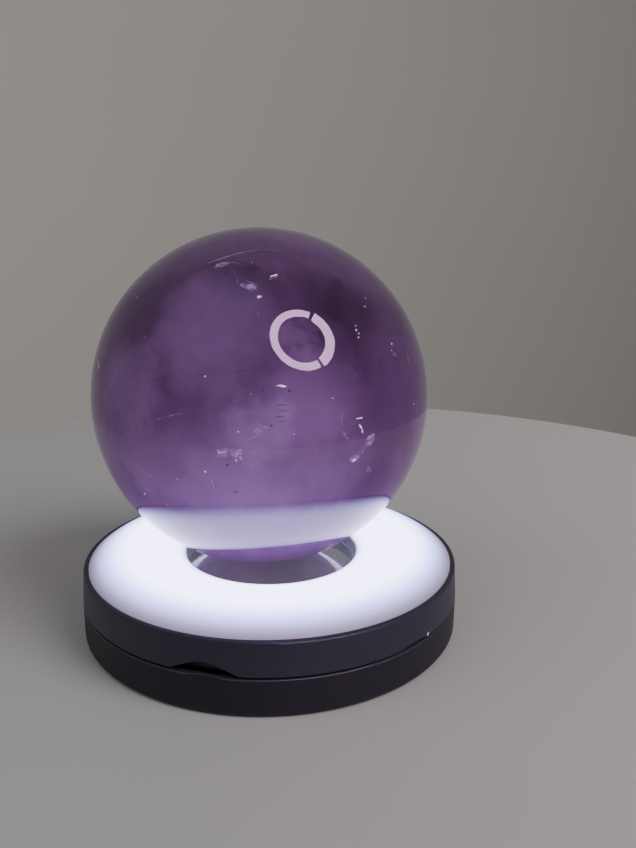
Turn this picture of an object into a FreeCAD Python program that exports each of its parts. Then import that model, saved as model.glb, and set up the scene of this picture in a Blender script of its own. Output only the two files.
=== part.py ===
"""Amethyst ball on a round ring-light stand, as an assembly of separate solids, in millimetres.

The stand is a folding two-shell case. The lower shell (base) rests on the table. The upper shell (head)
carries a domed opal light ring round a mirror-floored well, and the ball stands in that well, leaning
on its lip. +Z is up, the stand's own axis is Z, and its underside is z = 0. Azimuths are in degrees,
counter-clockwise from +X.
"""
import FreeCAD
import Part
import math
import os

# --- driving dimensions: overall ---
case_radius = 42.5          # outside of both shells at the seam
base_height = 8.0           # table to the seam
head_height = 7.2           # seam to the head's rim
dome_rise = 2.8             # rim to the crest of the light ring
ball_radius = 37.5
ball_azimuth = 113.0        # side of the well that the ball leans to

# --- shells ---
seam_gap = 0.3              # between the closed shells
wall = 1.5
base_floor = 1.6
head_wall = 1.4
rim_draft = 0.4             # how much narrower the head is at its rim
foot_round = 1.2
seam_round = 0.3
rim_round = 0.35

# --- light ring (opal diffuser) ---
rim_fit = 0.1               # diffuser edge to the head's wall
diffuser_wall = 1.5
crest_inset = 8.5           # diffuser edge to its crest
well_radius = 19.5
lip_rise = 0.8              # rim to the lip of the well
lip_round = 0.4
skirt_wall = 1.2
ledge_drop = 1.3            # rim to the ledge that the diffuser is bonded on
ledge_width = 1.4
ledge_thick = 0.6

# --- well ---
well_depth = 2.9            # lip to the mirror
mirror_thick = 1.0
tape_thick = 0.15
tray_wall = 0.8
mirror_margin = 1.7         # mirror edge beyond the well's wall
mirror_fit = 0.2

# --- light tray and light board ---
tray_gap = 0.6              # tray to the magnets' collars
tray_drop = 0.9             # mirror's underside to the tray's channel floor
cone_rise = 2.7
tray_floor_thick = 0.7
board_thick = 1.0
board_margin = 0.4
led_count = 24
led_length = 3.5
led_width = 2.8
led_height = 0.8
led_window_depth = 0.3
led_window_floor = 0.9      # radius of the window's floor
led_window_mouth = 1.1      # radius at its top

# --- head cover ---
cover_thick = 0.8
cover_recess = 0.1          # closed seam face to the cover's flange
cover_fit = 0.2
dish_gap = 0.9              # dish to the magnets' bosses in the base
dish_depth = 3.5
dish_wall = 1.0
dish_round = 0.8
screw_radius = 0.8
screw_head_radius = 1.5
screw_head_height = 0.8
screw_length = 4.2
screw_hole_fit = 0.15
cross_length = 1.6
cross_width = 0.4
cross_depth = 0.35
boss_radius = 2.3
boss_inset = 2.1            # boss axis to the inside of the head's wall
screw_azimuths = (-165.0, -65.0, -5.0, 148.0)

# --- hinge ---
hinge_azimuth = 72.5
barrel_radius = 2.3
barrel_cover = 1.8          # barrel to the case's outside
barrel_length = 24.0
head_knuckle_length = 10.8
knuckle_gap = 0.3
pin_radius = 0.75
pin_fit = 0.05
hinge_clearance = 0.3
hinge_block_wall = 0.7      # left behind the barrel's room
hinge_roof = 0.8

# --- thumb notch, relief and scoop ---
notch_azimuth = -107.5
notch_width = 18.4
notch_height = 2.8
notch_depth = 2.3
notch_backing = 1.4
scoop_radius = 14.0
scoop_depth = 0.8
scoop_lift = 2.65
relief_azimuth = -48.5
relief_width = 15.6
relief_height = 1.0
relief_depth = 0.7
lens_azimuth = -42.5
lens_radius = 0.45
lens_height = 0.75          # seam to the lens
lens_recess = 0.1           # lens face behind the wall
lens_gap = 0.1              # lens to the cover's edge

# --- closing magnets and bumpers ---
magnet_radius = 2.5
magnet_thick = 1.2
magnet_wall = 0.6
magnet_inset = 3.4          # magnet axis to the inside of the head's wall
magnet_stand = 0.4          # magnet's top above its collar
magnet_azimuths = (notch_azimuth - 22.0, notch_azimuth + 22.0)
bumper_radius = 1.5
bumper_height = 1.2
bumper_stand = 0.4
bumper_post = 2.2
bumper_inset = 2.1          # bumper axis to the inside of the base's wall
bumper_azimuths = (-35.0, -145.0)

# --- base mirror ---
base_mirror_thick = 1.5
base_tape_thick = 0.2
base_tape_inset = 2.0
mirror_lip_wall = 1.0
mirror_lip_rise = 0.3
mirror_lip_gap = 0.1        # lip to the magnets' bosses

# --- electronics ---
pcb_thick = 0.8
pcb_gap = 5.6               # board to the cell's corners
pcb_edge = 1.1              # board edge to the head's wall
pcb_from = -50.0
pcb_to = 130.0
chip_azimuths = (10.0, 40.0)
chip_hinge_gap = 0.9        # third chip to the hinge's block
chip_inset = 1.2            # chip to the board's outer edge
chip_chamfer = 0.15
chip_side = 3.0
chip_height = 0.8
port_azimuth = 120.0
port_width = 8.94
port_height = 3.26
port_depth = 7.3
port_round = 1.2
port_shell = 0.3
port_fit = 0.15
port_recess = 0.4
tongue_width = 6.6
tongue_thick = 0.7
tongue_recess = 1.0         # tongue behind the port's face
battery_size = (34.0, 26.0, 3.8)
battery_round = 1.5
pad_thick = 0.2
pad_inset = 4.0
lead_radius = 0.35
lead_spacing = 1.4
lead_slack = 3.0            # straight run at each end of a lead
link_pin_radius = 0.32
link_pin_fit = 0.2
link_pin_azimuths = (-24.0, -21.0)

# --- power button and its switch ---
button_azimuth = 25.0
button_width = 7.0
button_height = 2.0
button_fit = 0.15
button_flange = 1.0
button_flange_thick = 0.45
button_flange_height = 3.2
button_round = 0.25
button_end_share = 0.99     # end rounding, of half the cap's height
button_inset = 0.1          # cap's face behind the wall
flange_gap = 0.2            # flange to the wall at its corners
button_travel = 0.5
button_slack = 0.1          # button to switch plunger when pressed home
button_dish_radius = 30.0
button_dish_depth = 0.6
button_dish_height = 3.0
switch_size = (2.4, 4.6, 2.0)
plunger_size = (0.6, 1.6, 0.9)
switch_shelf = 0.1          # board left in front of the switch

ball_clearance = 0.15       # ball to mirror and to lip
clearance = 0.3             # between pieces that only pass each other

# --- how solids are joined and cut ---
root = 0.2                  # how far a rib or boss runs into what it grows from
past = 1.0                  # how far a cut runs past the face that it opens
tolerance = 1e-6            # when an edge counts as lying in a plane or along an axis

# --- levels worked out from the above ---
base_top = base_height - seam_gap / 2
head_bottom = base_height + seam_gap / 2
rim_z = base_height + head_height
crest_z = rim_z + dome_rise
lip_z = rim_z + lip_rise
mirror_top = lip_z - well_depth
mirror_bottom = mirror_top - mirror_thick
well_floor_top = mirror_bottom - tape_thick
ledge_z = rim_z - ledge_drop
head_inner = case_radius - head_wall
hinge_radius = case_radius - barrel_cover - barrel_radius
magnet_place = head_inner - magnet_inset
collar_radius = magnet_radius + magnet_wall
magnet_boss = collar_radius + clearance
bumper_place = case_radius - wall - bumper_inset
diffuser_radius = head_inner - rim_fit
crest_radius = diffuser_radius - crest_inset
tray_radius = magnet_place - collar_radius - tray_gap
cone_reach = head_inner - ledge_width - clearance - tray_radius
dish_radius = magnet_place - magnet_boss - dish_gap
mirror_lip_inner = magnet_place - magnet_boss - mirror_lip_gap - mirror_lip_wall
base_mirror_radius = mirror_lip_inner - mirror_fit
mirror_radius = well_radius + mirror_margin
cup_radius = mirror_radius + mirror_fit
led_circle = (cup_radius + tray_wall + tray_radius) / 2
tray_floor_top = mirror_bottom - tray_drop - tape_thick - tray_wall / 2
tray_bottom = tray_floor_top - tray_floor_thick
cover_bottom = base_height + cover_recess
cover_top = cover_bottom + cover_thick
cover_radius = head_inner - cover_fit
dish_bottom = cover_bottom - dish_depth
dish_floor = dish_bottom + dish_wall
pcb_top = cover_top + pcb_thick
pcb_inner = math.hypot(battery_size[0], battery_size[1]) / 2 + pcb_gap
boss_place = head_inner - boss_inset
hinge_z = base_height
block_inner = hinge_radius - barrel_radius - hinge_clearance - hinge_block_wall
port_z = pcb_top + port_height / 2
button_z = pcb_top + switch_size[2] / 2
UP = FreeCAD.Vector(0, 0, 1)
RADIAL = FreeCAD.Vector(1, 0, 0)
TANGENT = FreeCAD.Vector(0, 1, 0)


def point(x, y, z):
    return FreeCAD.Vector(x, y, z)


def turned(shape, azimuth):
    """A copy of a shape made on the +X side, turned to its azimuth."""
    copy = shape.copy()
    copy.rotate(point(0, 0, 0), UP, azimuth)
    return copy


def disc(radius, low, high):
    return Part.makeCylinder(radius, high - low, point(0, 0, low))


def ring(inner, outer, low, high):
    return disc(outer, low, high).cut(disc(inner, low, high))


def post(radius, place, azimuth, low, high):
    return turned(Part.makeCylinder(radius, high - low, point(place, 0, low)), azimuth)


def box(x_from, x_to, width, low, high):
    """A box on the +X side, centred across it."""
    return Part.makeBox(x_to - x_from, width, high - low, point(x_from, -width / 2, low))


def edge_line(start, end):
    return Part.makeLine(point(start[0], 0, start[1]), point(end[0], 0, end[1]))


def edge_arc(start, middle, end):
    places = [point(p[0], 0, p[1]) for p in (start, middle, end)]
    return Part.Arc(*places).toShape()


def spun(edges, angle=360.0):
    """The solid that a closed outline in the XZ plane sweeps round the stand's axis."""
    face = Part.Face(Part.Wire(Part.sortEdges(edges)[0]))
    return face.revolve(point(0, 0, 0), UP, angle)


def outline(points):
    closed = list(points) + [points[0]]
    return [edge_line(a, b) for a, b in zip(closed, closed[1:])]


def segment(inner, outer, low, high, azimuth, width):
    """Part of a ring, centred on an azimuth, width in degrees."""
    piece = spun(outline([(inner, low), (outer, low), (outer, high), (inner, high)]), width)
    return turned(piece, azimuth - width / 2)


def fused(first, *others):
    for other in others:
        first = first.fuse(other)
    return first


def trimmed(shape, cuts):
    for cut in cuts:
        shape = shape.cut(cut)
    return shape


def edges_along(shape, axis):
    return [e for e in shape.Edges if e.tangentAt(e.FirstParameter).cross(axis).Length < tolerance]


def edges_at(shape, z):
    return [e for e in shape.Edges if abs(e.CenterOfMass.z - z) < tolerance]


def slot_bar(width, height, x_from, x_to, z, round_by):
    """A bar along +X with rounded corners, for the port and the button."""
    bar = box(x_from, x_to, width, z - height / 2, z + height / 2)
    return bar.makeFillet(round_by, edges_along(bar, RADIAL))


def lead(places):
    """A short insulated wire: straight runs with ball corners."""
    parts = []
    for a, b in zip(places, places[1:]):
        run = point(*b).sub(point(*a))
        parts.append(Part.makeCylinder(lead_radius, run.Length, point(*a), run))
    parts += [Part.makeSphere(lead_radius, point(*p)) for p in places[1:-1]]
    return fused(parts[0], *parts[1:])


def swell(width, height, depth):
    """A smooth bump below which a finger reaches in: its flat side is the seam, its ends run out softly."""
    def rise(along):
        return height * (0.5 + 0.5 * math.cos(2 * math.pi * along / width))

    count = 9
    places = []
    for i in range(count):
        along = -width / 2 + width * i / (count - 1)
        places.append(point(0, along, base_height + rise(along)))
    curve = Part.BSplineCurve()
    curve.interpolate(Points=places, InitialTangent=TANGENT, FinalTangent=TANGENT)
    low_left = point(0, -width / 2, base_height - depth)
    low_right = point(0, width / 2, base_height - depth)
    edges = [
        curve.toShape(),
        Part.makeLine(places[-1], low_right),
        Part.makeLine(low_right, low_left),
        Part.makeLine(low_left, places[0]),
    ]
    face = Part.Face(Part.Wire(edges))
    face.translate(point(case_radius - 2 * depth, 0, 0))
    bar = face.extrude(RADIAL * 4 * depth)
    return bar.cut(disc(case_radius - depth, base_height - 2 * depth, rim_z))


# --- hinge ---

def barrel(radius, from_y, to_y):
    place = point(hinge_radius, from_y, hinge_z)
    return Part.makeCylinder(radius, to_y - from_y, place, TANGENT)


def knuckle_spans():
    half_head = head_knuckle_length / 2
    half_all = barrel_length / 2
    inner = half_head + knuckle_gap
    return (-half_head, half_head), [(-half_all, -inner), (inner, half_all)]


def base_hinge():
    """The base's two knuckles, on the +X side."""
    return [barrel(barrel_radius, a, b).cut(barrel(pin_radius, a, b)) for a, b in knuckle_spans()[1]]


def head_hinge():
    a, b = knuckle_spans()[0]
    return barrel(barrel_radius, a, b).cut(barrel(pin_radius + pin_fit, a, b))


def head_hinge_room():
    """What is cut from the base so that the head's knuckle turns."""
    a, b = knuckle_spans()[0]
    return barrel(barrel_radius + hinge_clearance, a - knuckle_gap, b + knuckle_gap)


def base_hinge_room():
    """What is cut from the head so that it turns round the base's knuckles."""
    reach = barrel_radius + hinge_clearance
    spans = knuckle_spans()[1]
    return [
        barrel(reach, spans[0][0] - knuckle_gap, spans[0][1] + knuckle_gap),
        barrel(reach, spans[1][0] - knuckle_gap, spans[1][1] + knuckle_gap),
    ]


def hinge_pin():
    half = barrel_length / 2
    return turned(barrel(pin_radius, -half, half), hinge_azimuth)


# --- base body ---

def base_tub():
    """Lower shell before its hinge: floor, round wall, softened foot and seam edges."""
    r = case_radius
    edges = [
        edge_line((0, 0), (r - foot_round, 0)),
        edge_arc(
            (r - foot_round, 0),
            (r - foot_round * (1 - math.sin(math.pi / 4)), foot_round * (1 - math.cos(math.pi / 4))),
            (r, foot_round),
        ),
        edge_line((r, foot_round), (r, base_top - seam_round)),
        edge_arc(
            (r, base_top - seam_round),
            (
                r - seam_round * (1 - math.cos(math.pi / 4)),
                base_top - seam_round * (1 - math.sin(math.pi / 4)),
            ),
            (r - seam_round, base_top),
        ),
        edge_line((r - seam_round, base_top), (r - wall, base_top)),
        edge_line((r - wall, base_top), (r - wall, base_floor)),
        edge_line((r - wall, base_floor), (0, base_floor)),
        edge_line((0, base_floor), (0, 0)),
    ]
    return spun(edges)


def base_shell():
    inside = case_radius - wall
    tub = base_tub()
    lip_top = base_floor + base_tape_thick + base_mirror_thick + mirror_lip_rise
    adds = [ring(mirror_lip_inner, mirror_lip_inner + mirror_lip_wall, base_floor - root, lip_top)]
    for azimuth in magnet_azimuths:
        top = base_top - clearance
        adds.append(post(magnet_boss, magnet_place, azimuth, base_floor - root, top))
    for azimuth in bumper_azimuths:
        adds.append(post(bumper_post, bumper_place, azimuth, base_floor - root, base_top - clearance))
    block = box(block_inner, hinge_radius, 2 * case_radius, base_floor - root, base_top)
    block = block.common(disc(inside + root, 0, base_top))
    adds.append(turned(block, hinge_azimuth))
    shell = fused(tub, *adds)
    behind = box(hinge_radius, case_radius + past, 2 * case_radius, -past, base_height + past)
    cuts = [turned(behind, hinge_azimuth)]
    for azimuth in magnet_azimuths:
        top = base_top - clearance
        cuts.append(post(magnet_radius, magnet_place, azimuth, top - magnet_thick, top + past))
    for azimuth in bumper_azimuths:
        top = base_top - clearance
        depth = bumper_height - bumper_stand
        cuts.append(post(bumper_radius, bumper_place, azimuth, top - depth, top + past))
    centre = case_radius - scoop_depth + math.sqrt(scoop_radius ** 2 - scoop_lift ** 2)
    scoop = Part.makeSphere(scoop_radius, point(centre, 0, base_top + scoop_lift))
    cuts.append(turned(scoop, notch_azimuth))
    cuts.append(turned(head_hinge_room(), hinge_azimuth))
    knuckles = [turned(k, hinge_azimuth) for k in base_hinge()]
    holes = [turned(barrel(pin_radius, a, b), hinge_azimuth) for a, b in knuckle_spans()[1]]
    return trimmed(fused(trimmed(shell, cuts), *knuckles), holes)


def base_mirror():
    low = base_floor + base_tape_thick
    return disc(base_mirror_radius, low, low + base_mirror_thick)


def base_mirror_tape():
    return disc(base_mirror_radius - base_tape_inset, base_floor, base_floor + base_tape_thick)


def base_magnets():
    top = base_top - clearance
    return [post(magnet_radius, magnet_place, a, top - magnet_thick, top) for a in magnet_azimuths]


def closing_bumpers():
    high = base_top - clearance + bumper_stand
    return [post(bumper_radius, bumper_place, a, high - bumper_height, high) for a in bumper_azimuths]


# --- head body ---

def head_wall_ring():
    r = case_radius
    top = r - rim_draft
    edges = [
        edge_line((head_inner, head_bottom), (r - seam_round, head_bottom)),
        edge_line((r - seam_round, head_bottom), (r, head_bottom + seam_round)),
        edge_line((r, head_bottom + seam_round), (top, rim_z - rim_round)),
        edge_arc(
            (top, rim_z - rim_round),
            (top - rim_round * (1 - math.cos(math.pi / 4)), rim_z - rim_round * (1 - math.sin(math.pi / 4))),
            (top - rim_round, rim_z),
        ),
        edge_line((top - rim_round, rim_z), (head_inner, rim_z)),
        edge_line((head_inner, rim_z), (head_inner, ledge_z)),
        edge_line((head_inner, ledge_z), (head_inner - ledge_width, ledge_z)),
        edge_line((head_inner - ledge_width, ledge_z), (head_inner - ledge_width, ledge_z - ledge_thick)),
        edge_line(
            (head_inner - ledge_width, ledge_z - ledge_thick),
            (head_inner, ledge_z - 2 * ledge_thick),
        ),
        edge_line((head_inner, ledge_z - 2 * ledge_thick), (head_inner, head_bottom)),
    ]
    return spun(edges)


def port_room(fit):
    reach = case_radius + past
    start = case_radius - port_recess - port_depth - clearance
    return slot_bar(port_width + 2 * fit, port_height + 2 * fit, start, reach, port_z, port_round + fit)


def head_shell():
    shell = head_wall_ring()
    ceiling = hinge_z + barrel_radius + hinge_clearance
    block = box(block_inner, case_radius, 2 * case_radius, head_bottom, ceiling + hinge_roof)
    block = block.common(disc(head_inner + root, 0, rim_z))
    adds = [turned(block, hinge_azimuth)]
    backing = case_radius - notch_depth - notch_backing
    high = base_height + notch_height + notch_backing
    arc = math.degrees((notch_width + 2 * notch_backing) / case_radius)
    adds.append(segment(backing, head_inner + root, head_bottom, high, notch_azimuth, arc))
    for azimuth in screw_azimuths:
        adds.append(post(boss_radius, boss_place, azimuth, cover_top, ledge_z - ledge_thick / 2))
    shell = fused(shell, *adds)
    under = box(hinge_radius, case_radius + past, 2 * case_radius, 0, ceiling)
    cuts = [turned(under, hinge_azimuth)]
    cuts += [turned(room, hinge_azimuth) for room in base_hinge_room()]
    cuts.append(turned(swell(notch_width, notch_height, notch_depth), notch_azimuth))
    cuts.append(turned(swell(relief_width, relief_height, relief_depth), relief_azimuth))
    cuts.append(turned(port_room(port_fit), port_azimuth))
    cuts.append(lens_bar(case_radius + past))
    hole = slot_bar(
        button_width + 2 * button_fit, button_height + 2 * button_fit,
        head_inner - 2 * past, case_radius + past, button_z, button_height / 2,
    )
    cuts.append(turned(hole, button_azimuth))
    dish = Part.makeCylinder(
        button_dish_radius, button_dish_height,
        point(case_radius - button_dish_depth + button_dish_radius, 0, button_z - button_dish_height / 2),
    )
    cuts.append(turned(dish, button_azimuth))
    for azimuth in screw_azimuths:
        cuts.append(post(screw_radius, boss_place, azimuth, cover_top - past, cover_bottom + screw_length))
    shell = fused(trimmed(shell, cuts), turned(head_hinge(), hinge_azimuth))
    a, b = knuckle_spans()[0]
    return shell.cut(turned(barrel(pin_radius + pin_fit, a, b), hinge_azimuth))


def arc_height(radius_at, centre_r, centre_z, radius):
    return centre_z + math.sqrt(radius ** 2 - (radius_at - centre_r) ** 2)


def crest_curve(reach, drop):
    """Radius of the arc that is level at the crest and falls by drop over reach."""
    return (reach ** 2 + drop ** 2) / (2 * drop)


def diffuser_ring():
    """Opal ring: two arcs that meet level at the crest, a rounded lip, and a skirt down each side."""
    outer = diffuser_radius
    lip_r = well_radius + lip_round
    outer_arc = crest_curve(outer - crest_radius, dome_rise)
    inner_arc = crest_curve(crest_radius - lip_r, crest_z - lip_z)
    foot = mirror_top + rim_fit

    def top(at, arc, thick):
        return arc_height(at, crest_radius, crest_z - arc, arc - thick)

    out_in = outer - skirt_wall
    well_out = well_radius + skirt_wall
    half_out = (outer + crest_radius) / 2
    half_in = (lip_r + crest_radius) / 2
    t = diffuser_wall
    edges = [
        edge_line((outer, ledge_z), (outer, rim_z)),
        edge_arc((outer, rim_z), (half_out, top(half_out, outer_arc, 0)), (crest_radius, crest_z)),
        edge_arc((crest_radius, crest_z), (half_in, top(half_in, inner_arc, 0)), (lip_r, lip_z)),
        edge_arc(
            (lip_r, lip_z),
            (lip_r - lip_round * math.sin(math.pi / 4), lip_z - lip_round * (1 - math.cos(math.pi / 4))),
            (well_radius, lip_z - lip_round),
        ),
        edge_line((well_radius, lip_z - lip_round), (well_radius, foot)),
        edge_line((well_radius, foot), (well_out, foot)),
        edge_line((well_out, foot), (well_out, top(well_out, inner_arc, t))),
        edge_arc(
            (well_out, top(well_out, inner_arc, t)),
            (half_in, top(half_in, inner_arc, t)),
            (crest_radius, crest_z - t),
        ),
        edge_arc(
            (crest_radius, crest_z - t),
            (half_out, top(half_out, outer_arc, t)),
            (out_in, top(out_in, outer_arc, t)),
        ),
        edge_line((out_in, top(out_in, outer_arc, t)), (out_in, ledge_z)),
        edge_line((out_in, ledge_z), (outer, ledge_z)),
    ]
    return spun(edges)


def light_tray():
    """White tray: a cup for the mirror, a channel for the light board, and a flared reflector."""
    cup_out = cup_radius + tray_wall
    floor_low = well_floor_top - tray_wall
    lower = [
        (0, floor_low), (cup_radius, floor_low), (cup_radius, tray_bottom), (tray_radius, tray_bottom),
        (tray_radius + cone_reach, tray_bottom + cone_rise),
    ]
    upper = [
        (tray_radius + cone_reach, tray_floor_top + cone_rise), (tray_radius, tray_floor_top),
        (cup_out, tray_floor_top), (cup_out, mirror_top), (cup_radius, mirror_top),
        (cup_radius, well_floor_top), (0, well_floor_top),
    ]
    tray = spun(outline(lower + upper))
    ceiling = hinge_z + barrel_radius + hinge_clearance + hinge_roof + clearance
    cuts = [
        turned(box(block_inner - clearance, case_radius, 2 * case_radius, 0, ceiling), hinge_azimuth),
        turned(port_room(2 * clearance), port_azimuth),
        turned(switch_room(), button_azimuth),
    ]
    for azimuth in screw_azimuths:
        cuts.append(post(boss_radius + clearance, boss_place, azimuth, 0, crest_z))
    for azimuth in link_pin_azimuths:
        cuts.append(post(link_pin_radius + link_pin_fit, led_circle, azimuth, 0, crest_z))
    return trimmed(tray, cuts)


def centre_mirror():
    return disc(mirror_radius, mirror_bottom, mirror_top)


def mirror_tape():
    return disc(mirror_radius - base_tape_inset, well_floor_top, mirror_bottom)


def led_board():
    inner = cup_radius + tray_wall + board_margin
    return ring(inner, tray_radius - board_margin, tray_floor_top, tray_floor_top + board_thick)


def leds():
    """Light-emitting packages, evenly spaced round the middle of the board."""
    low = tray_floor_top + board_thick
    high = low + led_height
    package = box(led_circle - led_width / 2, led_circle + led_width / 2, led_length, low, high)
    window = Part.makeCone(
        led_window_floor, led_window_mouth, led_window_depth, point(led_circle, 0, high - led_window_depth)
    )
    package = package.cut(window)
    return [turned(package, 360.0 * i / led_count) for i in range(led_count)]


def head_cover():
    """Stepped inner cover: a flange on the screw bosses and a dish that holds the battery."""
    flange = disc(cover_radius, cover_bottom, cover_top)
    dish = disc(dish_radius, dish_bottom, cover_bottom + root)
    dish = dish.makeFillet(dish_round, edges_at(dish, dish_bottom))
    cover = fused(flange, dish).cut(disc(dish_radius - dish_wall, dish_floor, cover_top + past))
    collar_top = cover_top + magnet_thick - magnet_stand
    for azimuth in magnet_azimuths:
        cover = cover.fuse(post(collar_radius, magnet_place, azimuth, cover_bottom, collar_top))
    backing = case_radius - notch_depth - notch_backing - clearance
    arc = math.degrees((notch_width + 4 * notch_backing) / case_radius)
    cuts = [
        turned(box(block_inner - clearance, case_radius, 2 * case_radius, 0, rim_z), hinge_azimuth),
        segment(backing, case_radius, 0, rim_z, notch_azimuth, arc),
    ]
    for azimuth in magnet_azimuths:
        cuts.append(post(magnet_radius, magnet_place, azimuth, cover_top, rim_z))
    for azimuth in screw_azimuths:
        cuts.append(post(screw_radius + screw_hole_fit, boss_place, azimuth, 0, cover_top + past))
    return trimmed(cover, cuts)


def cover_screws():
    """Pan-head screws up through the cover's flange, each with a cross recess."""
    low = cover_bottom - screw_head_height
    head = Part.makeCylinder(screw_head_radius, screw_head_height, point(boss_place, 0, low))
    head = head.makeFillet(screw_head_height / 2, edges_at(head, low))
    for along, across in ((cross_length, cross_width), (cross_width, cross_length)):
        corner = point(boss_place - along / 2, -across / 2, low - cross_depth)
        head = head.cut(Part.makeBox(along, across, 2 * cross_depth, corner))
    shank_low = cover_bottom - screw_head_height / 4
    screw = fused(head, post(screw_radius, boss_place, 0, shank_low, cover_bottom + screw_length))
    return [turned(screw, azimuth) for azimuth in screw_azimuths]


def head_magnets():
    top = cover_top + magnet_thick
    return [post(magnet_radius, magnet_place, a, cover_top, top) for a in magnet_azimuths]


def lens_bar(reach):
    start = cover_radius + lens_gap
    bar = Part.makeCylinder(lens_radius, reach - start, point(start, 0, base_height + lens_height), RADIAL)
    return turned(bar, lens_azimuth)


def indicator_lens():
    return lens_bar(case_radius - lens_recess)


def switch_room():
    """Space over the switch and the button's flange, kept free of the reflector."""
    side = max(switch_size[1], button_width + 2 * button_flange) + 2 * clearance
    back = plunger_tip() - plunger_size[0] - switch_size[0] - clearance
    return box(back, case_radius, side, cover_top, button_z + button_height / 2 + button_flange + clearance)


def button_back():
    """Back face of the button's flange, clear of the curved wall at its corners."""
    half = button_width / 2 + button_flange
    return math.sqrt(head_inner ** 2 - half ** 2) - flange_gap - button_flange_thick


def plunger_tip():
    return button_back() - button_travel - button_slack


def control_board():
    """C-shaped board on the cover's flange, from the indicator round to the charge port."""
    outer = head_inner - pcb_edge
    board = segment(pcb_inner, outer, cover_top, pcb_top, (pcb_from + pcb_to) / 2, pcb_to - pcb_from)
    reach = plunger_tip() - plunger_size[0] + switch_shelf
    cuts = [
        turned(box(block_inner - clearance, case_radius, 2 * case_radius, 0, rim_z), hinge_azimuth),
        turned(box(reach, case_radius, button_width + 4 * button_flange, 0, rim_z), button_azimuth),
    ]
    for azimuth in screw_azimuths:
        cuts.append(post(boss_radius + clearance, boss_place, azimuth, 0, rim_z))
    return trimmed(board, cuts)


def board_chips():
    """Three square chips. The last stands just past the hinge's block."""
    reach = head_inner - pcb_edge - chip_inset
    high = pcb_top + chip_height
    chip = box(reach - chip_side, reach, chip_side, pcb_top, high)
    chip = chip.makeChamfer(chip_chamfer, edges_at(chip, high))
    half = math.atan2(chip_side / 2, reach)
    corner = math.hypot(chip_side / 2, reach)
    past_block = math.degrees(half + math.acos((block_inner - chip_hinge_gap) / corner))
    return [turned(chip, azimuth) for azimuth in (*chip_azimuths, hinge_azimuth + past_block)]


def usb_port():
    """Charge port: a drawn steel shell with rounded corners, closed at the back, and its tongue."""
    face = case_radius - rim_draft / 2 - port_recess
    back = face - port_depth
    shell = slot_bar(port_width, port_height, back, face, port_z, port_round)
    room = slot_bar(
        port_width - 2 * port_shell, port_height - 2 * port_shell,
        back + port_shell, face + past, port_z, port_round - port_shell,
    )
    tongue = box(
        back, face - tongue_recess, tongue_width, port_z - tongue_thick / 2, port_z + tongue_thick / 2
    )
    return turned(fused(shell.cut(room), tongue), port_azimuth)


def tact_switch():
    tip = plunger_tip()
    front = tip - plunger_size[0]
    body = box(front - switch_size[0], front, switch_size[1], pcb_top, pcb_top + switch_size[2])
    low = button_z - plunger_size[2] / 2
    plunger = box(front - plunger_size[0] / 2, tip, plunger_size[1], low, low + plunger_size[2])
    return turned(fused(body, plunger), button_azimuth)


def power_button():
    """Button cap with a soft face, and the flange that keeps it inside the wall."""
    back = button_back()
    face = case_radius - rim_draft / 2 - button_inset
    middle = back + button_flange_thick / 2
    cap = slot_bar(button_width, button_height, middle, face, button_z, button_end_share * button_height / 2)
    front = [e for e in cap.Edges if e.CenterOfMass.x > face - tolerance]
    cap = cap.makeFillet(button_round, front)
    flange = slot_bar(
        button_width + 2 * button_flange, button_flange_height, back, back + button_flange_thick,
        button_z, button_flange_height / 4,
    )
    return turned(fused(flange, cap), button_azimuth)


def battery():
    length, width, thick = battery_size
    low = dish_floor + pad_thick
    cell = Part.makeBox(length, width, thick, point(-length / 2, -width / 2, low))
    return cell.makeFillet(battery_round, edges_along(cell, UP))


def battery_pad():
    length, width = battery_size[0] - pad_inset, battery_size[1] - pad_inset
    return Part.makeBox(length, width, pad_thick, point(-length / 2, -width / 2, dish_floor))


def battery_leads():
    """Two wires from the cell's end to the inner edge of the control board."""
    side = battery_size[0] / 2
    low = dish_floor + pad_thick + battery_size[2] / 2
    high = (cover_top + pcb_top) / 2
    wires = []
    for shift in (-lead_spacing / 2, lead_spacing / 2):
        end = math.sqrt(pcb_inner ** 2 - shift ** 2)
        wires.append(lead([
            (side, shift, low), (side + lead_slack, shift, low),
            (end - lead_slack, shift, high), (end, shift, high),
        ]))
    board = ring(pcb_inner, head_inner, cover_top, pcb_top)
    return [wire.cut(board) for wire in wires]


def board_pins():
    """Two link pins that stand on the control board and carry current up to the light board."""
    return [post(link_pin_radius, led_circle, a, pcb_top, tray_floor_top) for a in link_pin_azimuths]


def ball():
    """Polished ball, standing on the mirror and leaning on the well's lip."""
    centre_z = mirror_top + ball_clearance + ball_radius
    lip_r = well_radius + lip_round
    drop = centre_z - (lip_z - lip_round)
    reach = ball_radius + lip_round + ball_clearance
    lean = lip_r - math.sqrt(reach ** 2 - drop ** 2)
    return turned(Part.makeSphere(ball_radius, point(lean, 0, centre_z)), ball_azimuth)


PARTS = (
    base_shell, base_mirror, base_mirror_tape, base_magnets, closing_bumpers, hinge_pin,
    head_shell, diffuser_ring, light_tray, centre_mirror, mirror_tape, led_board, leds,
    control_board, board_chips, board_pins, usb_port, tact_switch,
    battery, battery_pad, battery_leads,
    head_cover, cover_screws, head_magnets, indicator_lens, power_button, ball,
)

os.makedirs("parts", exist_ok=True)
for make in PARTS:
    made = make()
    shape = Part.makeCompound(made) if isinstance(made, list) else made
    for solid in shape.Solids:
        if not solid.isValid():
            raise ValueError(make.__name__ + " is not a valid solid")
    shape.exportStep(os.path.join("parts", make.__name__ + ".step"))
    print(make.__name__, len(shape.Solids), "solids", round(shape.Volume, 1), "mm3")
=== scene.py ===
"""The looks of an amethyst ball on a round ring-light stand, built round its CAD frame. Metres, +Z up."""
import math
import random

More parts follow.
